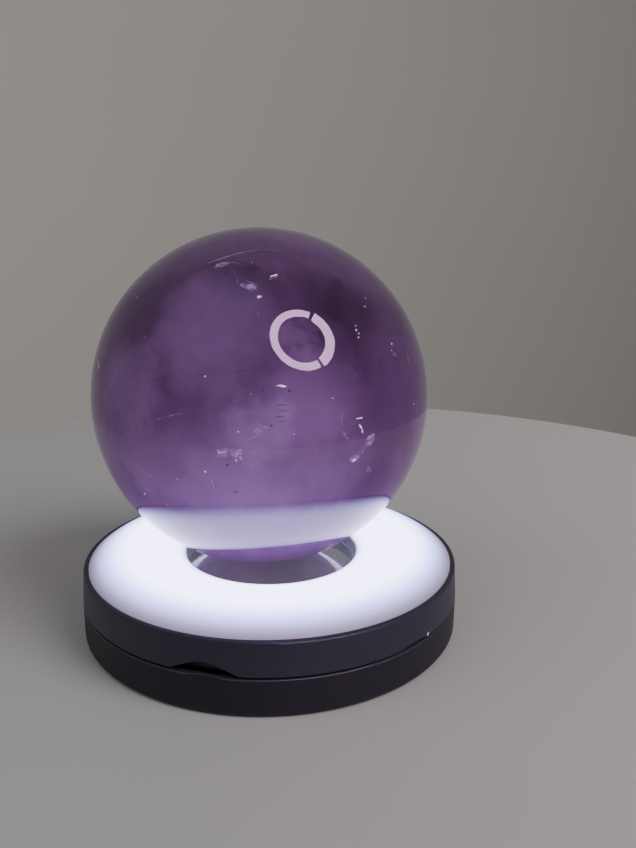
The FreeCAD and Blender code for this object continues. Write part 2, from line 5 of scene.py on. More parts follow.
import bpy
from mathutils import Matrix, Vector


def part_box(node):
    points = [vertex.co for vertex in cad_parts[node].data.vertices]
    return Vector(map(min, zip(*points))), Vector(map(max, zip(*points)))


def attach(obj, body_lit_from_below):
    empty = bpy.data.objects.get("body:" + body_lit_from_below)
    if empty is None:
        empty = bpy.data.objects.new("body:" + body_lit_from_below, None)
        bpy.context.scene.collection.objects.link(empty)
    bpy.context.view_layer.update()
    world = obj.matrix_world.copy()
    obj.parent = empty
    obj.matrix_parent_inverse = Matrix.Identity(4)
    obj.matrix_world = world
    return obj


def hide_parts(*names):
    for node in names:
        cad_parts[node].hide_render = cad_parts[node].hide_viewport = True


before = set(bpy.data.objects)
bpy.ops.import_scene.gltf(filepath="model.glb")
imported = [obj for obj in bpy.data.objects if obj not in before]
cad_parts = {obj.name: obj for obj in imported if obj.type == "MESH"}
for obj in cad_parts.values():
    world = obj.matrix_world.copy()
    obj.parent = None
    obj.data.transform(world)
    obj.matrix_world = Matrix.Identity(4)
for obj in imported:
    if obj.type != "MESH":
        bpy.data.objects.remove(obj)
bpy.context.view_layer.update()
MM = 0.001

# ----------------------------------------------------------------------------------------------------------
# Camera. It stands in front of the stand and looks down at it, turned a little up and to the right so that the
# ball and stand sit low and to the left in the view.
# ----------------------------------------------------------------------------------------------------------
camera_distance = 186.5 * MM
camera_height_angle = math.radians(27.28)
look_right = math.radians(3.64)
look_up = math.radians(13.69)
camera_tilt = math.radians(0.50)
focal_length, sensor_width = 32.26, 36.0        # mm

place = Vector((0, -math.cos(camera_height_angle), math.sin(camera_height_angle))) * camera_distance
ahead = -place.normalized()
across = Vector((1, 0, 0))
ahead = (ahead + math.tan(look_right) * across + math.tan(look_up) * across.cross(ahead)).normalized()
level = ahead.cross(Vector((0, 0, 1))).normalized()
upright = level.cross(ahead)
side = level * math.cos(camera_tilt) + upright * math.sin(camera_tilt)
top = upright * math.cos(camera_tilt) - level * math.sin(camera_tilt)

lens = bpy.data.cameras.new("camera")
lens.lens = focal_length
lens.sensor_width = sensor_width
lens.clip_start = 0.01
camera = bpy.data.objects.new("camera", lens)
camera.matrix_world = Matrix.Translation(place) @ Matrix((side, top, -ahead)).transposed().to_4x4()
bpy.context.scene.collection.objects.link(camera)
bpy.context.scene.camera = camera


# ----------------------------------------------------------------------------------------------------------
# The place it stands in: a pale round table with a softened edge, painted paler on its right as painted light,
# a backdrop painted darker towards its right as painted shade, two soft lights and a ring lamp. None of it is
# part of the object.
# ----------------------------------------------------------------------------------------------------------
def new_material(name):
    material = bpy.data.materials.new(name)
    material.use_nodes = True
    return material, material.node_tree, material.node_tree.nodes["Principled BSDF"]


def node(tree, kind, settings=None, inputs=None):
    """Adds a shader node. An input is a plain value, or the output socket that feeds it."""
    made = tree.nodes.new("ShaderNode" + kind)
    for name, value in (settings or {}).items():
        setattr(made, name, value)
    for name, value in (inputs or {}).items():
        feed(tree, made, name, value)
    return made


def feed(tree, made, name, value):
    if isinstance(value, bpy.types.NodeSocket):
        tree.links.new(value, made.inputs[name])
    else:
        made.inputs[name].default_value = value


def ramp(tree, factor, stops):
    """A colour ramp, its stops given as (place, colour)."""
    made = node(tree, "ValToRGB", inputs={"Fac": factor})
    elements = made.color_ramp.elements
    while len(elements) < len(stops):
        elements.new(0.5)
    for element, (where, colour) in zip(elements, stops):
        element.position = where
        element.color = (*colour, 1.0)
    return made.outputs["Color"]


def pick(piece):
    """Makes a piece the active one, and the only one selected."""
    bpy.ops.object.select_all(action="DESELECT")
    piece.select_set(True)
    bpy.context.view_layer.objects.active = piece


def edit(piece):
    """Opens a piece in edit mode with nothing selected."""
    pick(piece)
    bpy.ops.object.mode_set(mode="EDIT")
    bpy.ops.mesh.select_all(action="DESELECT")


def close_edit():
    bpy.ops.object.mode_set(mode="OBJECT")


def added(name, material):
    """Names the primitive just added, and sets its place into its mesh."""
    piece = bpy.context.object
    piece.name = name
    piece.data.name = name
    bpy.ops.object.transform_apply(location=True, rotation=True, scale=True)
    piece.data.materials.append(material)
    return piece


def smooth(piece, angle):
    """Shades a piece smooth, with edges kept where they are sharper than an angle in degrees."""
    pick(piece)
    bpy.ops.object.shade_smooth_by_angle(angle=math.radians(angle))


def apply_modifiers(piece):
    pick(piece)
    for modifier in list(piece.modifiers):
        bpy.ops.object.modifier_apply(modifier=modifier.name)


bpy.ops.object.select_all(action="DESELECT")
table_radius = 0.194
table_thick = 0.03
table_centre = (0.014, 0.043)
table_edge = 0.004
table_dark, table_light = (0.42, 0.41, 0.41), (0.45, 0.44, 0.44)
table_right_lit = (1.24, 1.19, 1.18)        # painted light: how much paler the table is painted on its right

table_paint, tree, shader = new_material("table_paint")
coordinates = node(tree, "TexCoord")
mottle = node(tree, "TexNoise", inputs={"Vector": coordinates.outputs["Object"], "Scale": 6.0, "Detail": 3.0})
sideways = node(tree, "SeparateXYZ", inputs={"Vector": coordinates.outputs["Object"]})
# Painted light: the table's colour is made paler towards its right, as if the light falls stronger there.
light_falloff = node(tree, "MapRange", inputs={"Value": sideways.outputs["X"], "From Min": -0.02, "From Max": 0.12})
paint = node(tree, "Mix", {"data_type": "RGBA", "blend_type": "MULTIPLY"}, {
    0: 1.0,
    6: ramp(tree, mottle.outputs["Fac"], [(0.3, table_dark), (0.8, table_light)]),
    7: ramp(tree, light_falloff.outputs["Result"], [(0.0, (1.0, 1.0, 1.0)), (1.0, table_right_lit)]),
})
feed(tree, shader, "Base Color", paint.outputs[2])
shader.inputs["Roughness"].default_value = 0.62

bpy.ops.mesh.primitive_cylinder_add(
    vertices=256, radius=table_radius, depth=table_thick, location=(*table_centre, -table_thick / 2)
)
table = added("table", table_paint)
edge = table.modifiers.new("edge", "BEVEL")
edge.width = table_edge
edge.segments = 6
edge.limit_method = "ANGLE"
apply_modifiers(table)
smooth(table, 40)

wall_size = 8
wall_away = 1.5
wall_middle = 1                 # height of its middle
# Painted light and shade: the backdrop is painted pale on its left and darker towards its right.
wall_lit_left, wall_shaded_right = (0.74, 0.715, 0.67), (0.37, 0.357, 0.33)

wall_paint, tree, shader = new_material("wall_paint")
coordinates = node(tree, "TexCoord")
mottle = node(tree, "TexNoise", inputs={"Vector": coordinates.outputs["Object"], "Scale": 2.0, "Detail": 2.0})
sideways = node(tree, "SeparateXYZ", inputs={"Vector": coordinates.outputs["Object"]})
light_falloff = node(tree, "MapRange", inputs={"Value": sideways.outputs["X"], "From Min": -0.7, "From Max": 1.0})
paint = node(tree, "Mix", {"data_type": "RGBA", "blend_type": "MULTIPLY"}, {
    0: 1.0,
    6: ramp(tree, light_falloff.outputs["Result"], [(0.0, wall_lit_left), (1.0, wall_shaded_right)]),
    7: ramp(tree, mottle.outputs["Fac"], [(0.2, (0.96, 0.96, 0.96)), (0.9, (1.0, 1.0, 1.0))]),
})
feed(tree, shader, "Base Color", paint.outputs[2])
shader.inputs["Roughness"].default_value = 0.9
bpy.ops.mesh.primitive_plane_add(
    size=wall_size, location=(0, wall_away, wall_middle), rotation=(math.radians(90), 0, 0)
)
wall = added("backdrop", wall_paint)
wall.visible_glossy = False


def soft_light(name, where, target, size, power, colour):
    lamp = bpy.data.lights.new(name, "AREA")
    lamp.shape = "DISK"
    lamp.size = size
    lamp.energy = power
    lamp.color = colour
    holder = bpy.data.objects.new(name, lamp)
    aim = (Vector(target) - Vector(where)).to_track_quat("-Z", "Y")
    holder.matrix_world = Matrix.Translation(where) @ aim.to_matrix().to_4x4()
    holder.visible_glossy = False
    holder.visible_transmission = False
    bpy.context.scene.collection.objects.link(holder)


soft_light("key_light", (0.95, -0.62, 1.15), target=(0.02, 0.08, 0), size=1.0, power=14.5,
           colour=(1.0, 0.985, 0.97))
soft_light("fill_light", (-0.9, -0.4, 1.1), target=(0, 0, 0.05), size=1.4, power=4.0,
           colour=(0.97, 0.97, 1.0))

sky = bpy.data.worlds.new("room")
sky.use_nodes = True
sky.node_tree.nodes["Background"].inputs["Color"].default_value = (0.30, 0.29, 0.29, 1)
sky.node_tree.nodes["Background"].inputs["Strength"].default_value = 0.8
bpy.context.scene.world = sky

# A round lamp that only shows as a reflection on polished surfaces. Its tube is in two pieces, nearly end to
# end, the one on the right thicker.
lamp_azimuth = math.radians(-55)
lamp_elevation = math.radians(44)
lamp_direction = Vector((
    math.cos(lamp_azimuth) * math.cos(lamp_elevation),
    math.sin(lamp_azimuth) * math.cos(lamp_elevation),
    math.sin(lamp_elevation),
))
lamp_distance = 0.55
lamp_radius = 0.166
lamp_tubes = ((52, 289, 0.0225), (-64.5, 45.5, 0.030))       # from, to (degrees from the right), tube radius

lamp_glow, tree, shader = new_material("lamp_glow")
shader.inputs["Base Color"].default_value = (0.8, 0.75, 0.8, 1)
shader.inputs["Emission Color"].default_value = (0.98, 0.60, 1.0, 1)
shader.inputs["Emission Strength"].default_value = 17.0
low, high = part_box("ball")
facing = lamp_direction.to_track_quat("Z", "Y").to_matrix().to_4x4()
hanging = Matrix.Translation((low + high) / 2 + lamp_direction * lamp_distance) @ facing
for number, (start, end, tube) in enumerate(lamp_tubes):
    bpy.ops.object.select_all(action="DESELECT")
    turn = math.radians(start)
    bpy.ops.mesh.primitive_circle_add(
        vertices=20, radius=tube, fill_type="NGON", rotation=(math.radians(90), 0, turn),
        location=(lamp_radius * math.cos(turn), lamp_radius * math.sin(turn), 0),
    )
    lamp = added("ring_lamp_%d" % number, lamp_glow)
    edit(lamp)
    bpy.ops.mesh.select_all(action="SELECT")
    bpy.ops.mesh.spin(steps=48, angle=math.radians(end - start), center=(0, 0, 0), axis=(0, 0, -1))
    bpy.ops.mesh.select_all(action="SELECT")
    bpy.ops.mesh.normals_make_consistent(inside=False)
    close_edit()
    lamp.data.transform(hanging)
    lamp.visible_diffuse = False
    lamp.visible_camera = False
    lamp.visible_shadow = False


# ----------------------------------------------------------------------------------------------------------
# Case shells. Both halves are injection-moulded black ABS: the head is spark-eroded to a blue-black satin, and
# the base is a little duller, with a polished edge at the seam that carries a pale painted highlight. Handling
# leaves rubbed patches and fine dust.
# ----------------------------------------------------------------------------------------------------------
def new_group(name, inputs, outputs):
    """An empty node group. Inputs are (name, socket kind, value) and outputs are (name, socket kind)."""
    group = bpy.data.node_groups.new(name, "ShaderNodeTree")
    for label, kind, value in inputs:
        group.interface.new_socket(label, in_out="INPUT", socket_type=kind).default_value = value
    for label, kind in outputs:
        group.interface.new_socket(label, in_out="OUTPUT", socket_type=kind)
    return group, group.nodes.new("NodeGroupInput").outputs, group.nodes.new("NodeGroupOutput").inputs


def object_place(tree):
    return node(tree, "TexCoord").outputs["Object"]


def grain_group():
    """Moulded grain: a tone that drifts between two colours, an uneven shine, and a fine height for bump."""
    group, given, out = new_group(
        "moulded_grain",
        (("Grain Scale", "NodeSocketFloat", 2600.0), ("Shine", "NodeSocketFloat", 0.4),
         ("Dark", "NodeSocketColor", (0.01, 0.01, 0.012, 1)),
         ("Light", "NodeSocketColor", (0.02, 0.02, 0.023, 1))),
        (("Colour", "NodeSocketColor"), ("Roughness", "NodeSocketFloat"), ("Height", "NodeSocketFloat")),
    )
    where = object_place(group)
    grain = node(group, "TexNoise", inputs={"Vector": where, "Scale": given["Grain Scale"], "Detail": 2.0})
    rubbed_and_highlit = node(group, "TexNoise", inputs={"Vector": where, "Scale": 45.0, "Detail": 4.0, "Roughness": 0.6})
    tone = node(group, "Mix", {"data_type": "RGBA"}, {
        0: rubbed_and_highlit.outputs["Fac"], 6: given["Dark"], 7: given["Light"]})
    spread = node(group, "MapRange", inputs={
        "Value": rubbed_and_highlit.outputs["Fac"], "From Min": 0.3, "From Max": 0.7, "To Min": -0.05, "To Max": 0.07})
    shine = node(group, "Math", {"operation": "ADD"}, {0: given["Shine"], 1: spread.outputs["Result"]})
    group.links.new(tone.outputs[2], out["Colour"])
    group.links.new(shine.outputs[0], out["Roughness"])
    group.links.new(grain.outputs["Fac"], out["Height"])
    return group


def dust_group():
    """Scattered specks of dust: a mask, white on each speck."""
    group, given, out = new_group(
        "dust",
        (("Scale", "NodeSocketFloat", 260.0), ("Size", "NodeSocketFloat", 0.09),
         ("Share", "NodeSocketFloat", 0.25)),
        (("Mask", "NodeSocketFloat"),),
    )
    cells = node(group, "TexVoronoi", inputs={"Vector": object_place(group), "Scale": given["Scale"]})
    speck = node(group, "Math", {"operation": "LESS_THAN"}, {0: cells.outputs["Distance"], 1: given["Size"]})
    pick = node(group, "SeparateColor", inputs={"Color": cells.outputs["Color"]})
    kept = node(group, "Math", {"operation": "LESS_THAN"}, {0: pick.outputs["Red"], 1: given["Share"]})
    mask = node(group, "Math", {"operation": "MULTIPLY"}, {0: speck.outputs[0], 1: kept.outputs[0]})
    group.links.new(mask.outputs[0], out["Mask"])
    return group


moulded_grain = grain_group()
dust = dust_group()


def grained(name, shine, dark, light, bump=0.12, grain_scale=2600.0, metal=0.0, gloss=0.5, dusty=0.0,
            edge=None):
    """A material with moulded or cast grain. Its dust, if any, lies over the colour. The edge, if any, is
    smoothed and painted pale as a painted highlight between two heights: (from, to, colour, roughness)."""
    material, tree, shader = new_material(name)
    grain = node(tree, "Group", {"node_tree": moulded_grain}, {
        "Grain Scale": grain_scale, "Shine": shine, "Dark": (*dark, 1), "Light": (*light, 1)}).outputs
    colour = grain["Colour"]
    if dusty:
        specks = node(tree, "Group", {"node_tree": dust}, {"Share": dusty})
        colour = node(tree, "Mix", {"data_type": "RGBA"}, {
            0: specks.outputs["Mask"], 6: colour, 7: (0.16, 0.155, 0.15, 1)}).outputs[2]
    roughness = grain["Roughness"]
    if edge:
        low, high, pale_and_lit, polish = edge
        level = node(tree, "SeparateXYZ", inputs={"Vector": object_place(tree)}).outputs["Z"]
        rubbed_and_highlit = node(tree, "Math", {"operation": "COMPARE"}, {
            0: level, 1: (low + high) / 2, 2: (high - low) / 2}).outputs[0]
        colour = node(tree, "Mix", {"data_type": "RGBA"}, {0: rubbed_and_highlit, 6: colour, 7: (*pale_and_lit, 1)}).outputs[2]
        roughness = node(tree, "Mix", {"data_type": "FLOAT"}, {0: rubbed_and_highlit, 2: roughness, 3: polish}).outputs[0]
    feed(tree, shader, "Base Color", colour)
    feed(tree, shader, "Roughness", roughness)
    relief = node(tree, "Bump", inputs={"Strength": bump, "Distance": 0.05 * MM, "Height": grain["Height"]})
    feed(tree, shader, "Normal", relief.outputs["Normal"])
    shader.inputs["Metallic"].default_value = metal
    shader.inputs["Specular IOR Level"].default_value = gloss
    return material


def dress(material, *names):
    """Gives CAD nodes their finish."""
    for name in names:
        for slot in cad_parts[name].material_slots:
            slot.material = material


# Painted highlight: the base's seam edge is painted pale where the lamps catch it; its lower roughness is real
# polish.
seam_highlight = (7.62 * MM, 7.9 * MM, (0.045, 0.045, 0.055), 0.3)
base_black = grained("base_black", 0.50, (0.007, 0.007, 0.013), (0.012, 0.0115, 0.019), gloss=0.36, dusty=0.05,
                     edge=seam_highlight)
head_black = grained("head_black", 0.38, (0.016, 0.0175, 0.034), (0.023, 0.025, 0.045), gloss=0.45, dusty=0.05)
dress(base_black, "base_shell")
dress(head_black, "head_shell")

# ----------------------------------------------------------------------------------------------------------
# Hinge pin. Ground steel wire, pressed into the base's knuckles and free in the head's. Its grinding lines
# run round it.
# ----------------------------------------------------------------------------------------------------------
def drawn_metal(name, colour, shine, lines, turn):
    """Metal with fine lines. It has X, Y and Z axes of its own, turned about Z by an angle in degrees, and the
    lines are given as their fineness along each."""
    material, tree, shader = new_material(name)
    laid = node(tree, "Mapping", inputs={
        "Vector": object_place(tree), "Rotation": (0, 0, -math.radians(turn)), "Scale": lines})
    streaks = node(tree, "TexNoise", inputs={"Vector": laid.outputs["Vector"], "Scale": 1000.0, "Detail": 3.0})
    feed(tree, shader, "Base Color", ramp(tree, streaks.outputs["Fac"], [
        (0.3, tuple(0.86 * part for part in colour)), (0.7, colour)]))
    feed(tree, shader, "Roughness", node(tree, "MapRange", inputs={
        "Value": streaks.outputs["Fac"], "To Min": shine - 0.08, "To Max": shine + 0.1}).outputs["Result"])
    relief = node(tree, "Bump", inputs={
        "Strength": 0.1, "Distance": 0.02 * MM, "Height": streaks.outputs["Fac"]})
    feed(tree, shader, "Normal", relief.outputs["Normal"])
    shader.inputs["Metallic"].default_value = 1.0
    return material


pin_azimuth = 162.5
hinge_steel = drawn_metal("hinge_steel", (0.55, 0.55, 0.57), 0.26, lines=(2.4, 0.3, 0.3), turn=pin_azimuth)
dress(hinge_steel, "hinge_pin")

# ----------------------------------------------------------------------------------------------------------
# Mirrors and their tape. Both mirrors are silvered float glass, dusty with use, on foam tape. The larger one
# lies in the base. The other is the floor of the well, with a faint painted glow that stands in for the light
# that its glass scatters.
# ----------------------------------------------------------------------------------------------------------
mirror_silver, tree, shader = new_material("mirror_silver")
haze = node(tree, "TexNoise", inputs={"Vector": object_place(tree), "Scale": 90.0, "Detail": 5.0})
specks = node(tree, "Group", {"node_tree": dust}, {"Scale": 520.0, "Size": 0.10, "Share": 0.30})
clean = node(tree, "MapRange", inputs={
    "Value": haze.outputs["Fac"], "From Min": 0.35, "From Max": 0.75, "To Min": 0.05, "To Max": 0.12})
feed(tree, shader, "Roughness", node(tree, "Mix", {"data_type": "FLOAT"}, {
    0: specks.outputs["Mask"], 2: clean.outputs["Result"], 3: 0.6}).outputs[0])
feed(tree, shader, "Base Color", ramp(tree, haze.outputs["Fac"], [
    (0.3, (0.56, 0.575, 0.56)), (0.8, (0.50, 0.515, 0.50))]))
shader.inputs["Metallic"].default_value = 0.9
dress(mirror_silver, "base_mirror")

lit_mirror = mirror_silver.copy()
lit_mirror.name = "lit_mirror"
shader = lit_mirror.node_tree.nodes["Principled BSDF"]
# Painted light: the well's mirror glows faintly.
shader.inputs["Metallic"].default_value = 0.82
shader.inputs["Emission Color"].default_value = (0.80, 0.95, 1.0, 1)
shader.inputs["Emission Strength"].default_value = 0.04
dress(lit_mirror, "centre_mirror")

foam_tape = grained("foam_tape", 0.85, (0.045, 0.045, 0.045), (0.07, 0.07, 0.07),
                    bump=0.6, grain_scale=3400.0)
dress(foam_tape, "mirror_tape", "base_mirror_tape", "battery_pad")

# ----------------------------------------------------------------------------------------------------------
# Closing magnets and bumpers. The magnets are nickel-plated discs, two in each shell; the bumpers are soft grey
# silicone on posts in the base.
# ----------------------------------------------------------------------------------------------------------
magnet_nickel = grained("magnet_nickel", 0.18, (0.60, 0.585, 0.55), (0.68, 0.66, 0.63),
                        bump=0.05, grain_scale=1500.0, metal=1.0)
dress(magnet_nickel, "head_magnets", "base_magnets")
bumper_silicone = grained("bumper_silicone", 0.55, (0.035, 0.035, 0.036), (0.05, 0.05, 0.052),
                          bump=0.3, grain_scale=1600.0)
dress(bumper_silicone, "closing_bumpers")

# ----------------------------------------------------------------------------------------------------------
# Light ring. A domed ring of opal acrylic, moulded in one piece. It glows by itself, evenly as far as the board
# under it reaches; its edge fades to lilac, and the skirt that lines the well stays dark, its colour painted
# dark as painted shade.
# ----------------------------------------------------------------------------------------------------------
well_radius = 19.5 * MM
glow_strength = 7.6

opal_acrylic, tree, shader = new_material("opal_acrylic")
axes = node(tree, "SeparateXYZ", inputs={"Vector": object_place(tree)})
flat = node(tree, "CombineXYZ", inputs={"X": axes.outputs["X"], "Y": axes.outputs["Y"]})
reach = node(tree, "VectorMath", {"operation": "LENGTH"}, {0: flat.outputs["Vector"]})
across_ring = node(tree, "MapRange", inputs={
    "Value": reach.outputs["Value"], "From Min": well_radius, "From Max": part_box("diffuser_ring")[1].x})
feed(tree, shader, "Emission Color", ramp(tree, across_ring.outputs["Result"], [
    (0.0, (0.01, 0.01, 0.015)), (0.012, (0.08, 0.08, 0.13)), (0.03, (0.38, 0.36, 0.55)),
    (0.10, (0.62, 0.61, 0.96)), (0.16, (0.645, 0.63, 1.0)), (0.60, (0.65, 0.64, 1.0)),
    (0.72, (0.41, 0.44, 0.80)), (0.81, (0.20, 0.22, 0.56)), (0.885, (0.11, 0.11, 0.235)),
    (0.93, (0.06, 0.055, 0.11)), (0.967, (0.03, 0.026, 0.05)), (1.0, (0.013, 0.01, 0.018)),
]))
# Painted shade: the skirt that lines the well, at the start of the ramp, is painted dark.
feed(tree, shader, "Base Color", ramp(tree, across_ring.outputs["Result"], [
    (0.0, (0.09, 0.09, 0.11)), (0.03, (0.35, 0.33, 0.40)), (1.0, (0.36, 0.33, 0.41))]))
swirl = node(tree, "TexNoise", inputs={"Vector": object_place(tree), "Scale": 60.0, "Detail": 3.0})
feed(tree, shader, "Roughness", node(tree, "MapRange", inputs={
    "Value": swirl.outputs["Fac"], "To Min": 0.22, "To Max": 0.36}).outputs["Result"])
shader.inputs["Emission Strength"].default_value = glow_strength
dress(opal_acrylic, "diffuser_ring")

# ----------------------------------------------------------------------------------------------------------
# Light tray and boards. The tray is matt white polystyrene. The light board is white, the control board green,
# both with copper tracks under the solder mask.
# ----------------------------------------------------------------------------------------------------------
def circuit_board(name, mask, track):
    """Solder mask over tracks, which show as a paler, raised pattern, with bare pads here and there."""
    material, tree, shader = new_material(name)
    where = object_place(tree)
    tracks = node(tree, "TexBrick", {"offset": 0.37, "squash": 1.6, "squash_frequency": 3}, {
        "Vector": where, "Scale": 900.0, "Color1": (*mask, 1), "Color2": (*(0.9 * part for part in mask), 1),
        "Mortar": (*track, 1), "Mortar Size": 0.035, "Brick Width": 1.4, "Row Height": 0.5})
    pads = node(tree, "Group", {"node_tree": dust}, {"Scale": 420.0, "Size": 0.16, "Share": 0.35})
    feed(tree, shader, "Base Color", node(tree, "Mix", {"data_type": "RGBA"}, {
        0: pads.outputs["Mask"], 6: tracks.outputs["Color"], 7: (0.66, 0.64, 0.58, 1)}).outputs[2])
    feed(tree, shader, "Metallic", pads.outputs["Mask"])
    relief = node(tree, "Bump", inputs={
        "Strength": 0.3, "Distance": 0.03 * MM, "Height": tracks.outputs["Fac"]})
    feed(tree, shader, "Normal", relief.outputs["Normal"])
    shader.inputs["Roughness"].default_value = 0.32
    return material


tray_white = grained("tray_white", 0.6, (0.80, 0.80, 0.79), (0.88, 0.88, 0.87), bump=0.15, grain_scale=1900.0)
dress(tray_white, "light_tray")
dress(circuit_board("light_board_white", (0.80, 0.80, 0.78), (0.70, 0.70, 0.66)), "led_board")
dress(circuit_board("board_green", (0.012, 0.10, 0.04), (0.03, 0.19, 0.08)), "control_board")

# ----------------------------------------------------------------------------------------------------------
# Lights. Twenty-four white packages, evenly spaced on one circle, each with a round yellow phosphor window that
# glows warm white.
# ----------------------------------------------------------------------------------------------------------
led_width = 2.8 * MM
led_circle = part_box("leds")[1].x - led_width / 2
led_step = math.radians(360 / 24)
window_radius = 1.1 * MM

led_white, tree, shader = new_material("led_white")
axes = node(tree, "SeparateXYZ", inputs={"Vector": object_place(tree)})
flat = node(tree, "CombineXYZ", inputs={"X": axes.outputs["X"], "Y": axes.outputs["Y"]})
reach = node(tree, "VectorMath", {"operation": "LENGTH"}, {0: flat.outputs["Vector"]})
turn = node(tree, "Math", {"operation": "ARCTAN2"}, {0: axes.outputs["Y"], 1: axes.outputs["X"]})
near = node(tree, "Math", {"operation": "WRAP"}, {0: turn.outputs[0], 1: led_step / 2, 2: -led_step / 2})
sideways = node(tree, "Math", {"operation": "MULTIPLY"}, {0: near.outputs[0], 1: led_circle})
outwards = node(tree, "Math", {"operation": "SUBTRACT"}, {0: reach.outputs["Value"], 1: led_circle})
local = node(tree, "CombineXYZ", inputs={"X": sideways.outputs[0], "Y": outwards.outputs[0]})
from_middle = node(tree, "VectorMath", {"operation": "LENGTH"}, {0: local.outputs["Vector"]})
window = node(tree, "MapRange", inputs={
    "Value": from_middle.outputs["Value"], "From Min": 1.02 * window_radius, "From Max": 0.97 * window_radius})
feed(tree, shader, "Base Color", ramp(tree, window.outputs["Result"], [
    (0.0, (0.82, 0.81, 0.78)), (1.0, (0.85, 0.66, 0.16))]))
feed(tree, shader, "Emission Color", ramp(tree, window.outputs["Result"], [
    (0.0, (0, 0, 0)), (1.0, (1.0, 0.95, 0.86))]))
shader.inputs["Emission Strength"].default_value = 4.0
shader.inputs["Roughness"].default_value = 0.45
dress(led_white, "leds")

# ----------------------------------------------------------------------------------------------------------
# Small parts on the control board: epoxy chips, gold-flashed link pins, the drawn steel charge port with its
# black tongue, and the black tact switch.
# ----------------------------------------------------------------------------------------------------------
chip_epoxy = grained("chip_epoxy", 0.55, (0.012, 0.012, 0.013), (0.022, 0.022, 0.024),
                     bump=0.3, grain_scale=3000.0)
dress(chip_epoxy, "board_chips")
pin_gold = grained("pin_gold", 0.22, (0.80, 0.56, 0.22), (0.86, 0.63, 0.28), bump=0.05, metal=1.0)
dress(pin_gold, "board_pins")
switch_black = grained("switch_black", 0.4, (0.014, 0.014, 0.015), (0.024, 0.024, 0.026), bump=0.1)
dress(switch_black, "tact_switch")

port_azimuth = 120
tongue_half = 0.36 * MM

port_steel = drawn_metal("port_steel", (0.60, 0.60, 0.61), 0.3, lines=(0.25, 2.0, 2.0), turn=port_azimuth)
tree = port_steel.node_tree
shader = tree.nodes["Principled BSDF"]
port_low, port_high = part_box("usb_port")
height = node(tree, "SeparateXYZ", inputs={"Vector": object_place(tree)})
off_middle = node(tree, "Math", {"operation": "SUBTRACT"}, {
    0: height.outputs["Z"], 1: (port_low.z + port_high.z) / 2})
from_tongue = node(tree, "Math", {"operation": "ABSOLUTE"}, {0: off_middle.outputs[0]})
steel = node(tree, "Math", {"operation": "GREATER_THAN"}, {0: from_tongue.outputs[0], 1: tongue_half})
feed(tree, shader, "Metallic", steel.outputs[0])
drawn = shader.inputs["Base Color"].links[0].from_socket
feed(tree, shader, "Base Color", node(tree, "Mix", {"data_type": "RGBA"}, {
    0: steel.outputs[0], 6: (0.015, 0.015, 0.016, 1), 7: drawn}).outputs[2])
dress(port_steel, "usb_port")

# ----------------------------------------------------------------------------------------------------------
# Battery and its leads. A lithium pouch cell in creased aluminium foil, with an amber tape over its sealed end,
# and one red and one black lead.
# ----------------------------------------------------------------------------------------------------------
tape_width = 4 * MM
tape_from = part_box("battery")[1].x - tape_width

battery_foil, tree, shader = new_material("battery_foil")
where = object_place(tree)
creases = node(tree, "TexNoise", inputs={"Vector": where, "Scale": 160.0, "Detail": 5.0, "Distortion": 1.2})
along = node(tree, "SeparateXYZ", inputs={"Vector": where})
tape = node(tree, "Math", {"operation": "GREATER_THAN"}, {0: along.outputs["X"], 1: tape_from})
feed(tree, shader, "Base Color", node(tree, "Mix", {"data_type": "RGBA"}, {
    0: tape.outputs[0], 6: (0.62, 0.63, 0.65, 1), 7: (0.62, 0.33, 0.03, 1)}).outputs[2])
feed(tree, shader, "Metallic", node(tree, "Math", {"operation": "SUBTRACT"}, {
    0: 1.0, 1: tape.outputs[0]}).outputs[0])
feed(tree, shader, "Roughness", node(tree, "MapRange", inputs={
    "Value": creases.outputs["Fac"], "To Min": 0.25, "To Max": 0.5}).outputs["Result"])
relief = node(tree, "Bump", inputs={
    "Strength": 0.4, "Distance": 0.15 * MM, "Height": creases.outputs["Fac"]})
feed(tree, shader, "Normal", relief.outputs["Normal"])
dress(battery_foil, "battery")

lead_pvc, tree, shader = new_material("lead_pvc")
where = object_place(tree)
sides = node(tree, "SeparateXYZ", inputs={"Vector": where})
first = node(tree, "Math", {"operation": "GREATER_THAN"}, {0: sides.outputs["Y"], 1: 0.0})
wax = node(tree, "TexNoise", inputs={"Vector": where, "Scale": 900.0})
feed(tree, shader, "Base Color", node(tree, "Mix", {"data_type": "RGBA"}, {
    0: first.outputs[0], 6: (0.012, 0.012, 0.013, 1), 7: (0.42, 0.012, 0.015, 1)}).outputs[2])
feed(tree, shader, "Roughness", node(tree, "MapRange", inputs={
    "Value": wax.outputs["Fac"], "To Min": 0.32, "To Max": 0.5}).outputs["Result"])
dress(lead_pvc, "battery_leads")

# ----------------------------------------------------------------------------------------------------------
# Head cover, its screws, the charge light and the power button. The cover is matt black ABS, held by four
# zinc-plated pan heads. The charge light is a frosted rod that glows faintly white.
# ----------------------------------------------------------------------------------------------------------
cover_black = grained("cover_black", 0.62, (0.016, 0.016, 0.018), (0.024, 0.024, 0.026),
                      bump=0.25, grain_scale=1800.0)
dress(cover_black, "head_cover")
screw_zinc = grained("screw_zinc", 0.34, (0.16, 0.16, 0.17), (0.24, 0.24, 0.25),
                     bump=0.1, grain_scale=1400.0, metal=1.0)
dress(screw_zinc, "cover_screws")
button_black = grained("button_black", 0.3, (0.014, 0.014, 0.017), (0.022, 0.022, 0.026), bump=0.05)
dress(button_black, "power_button")

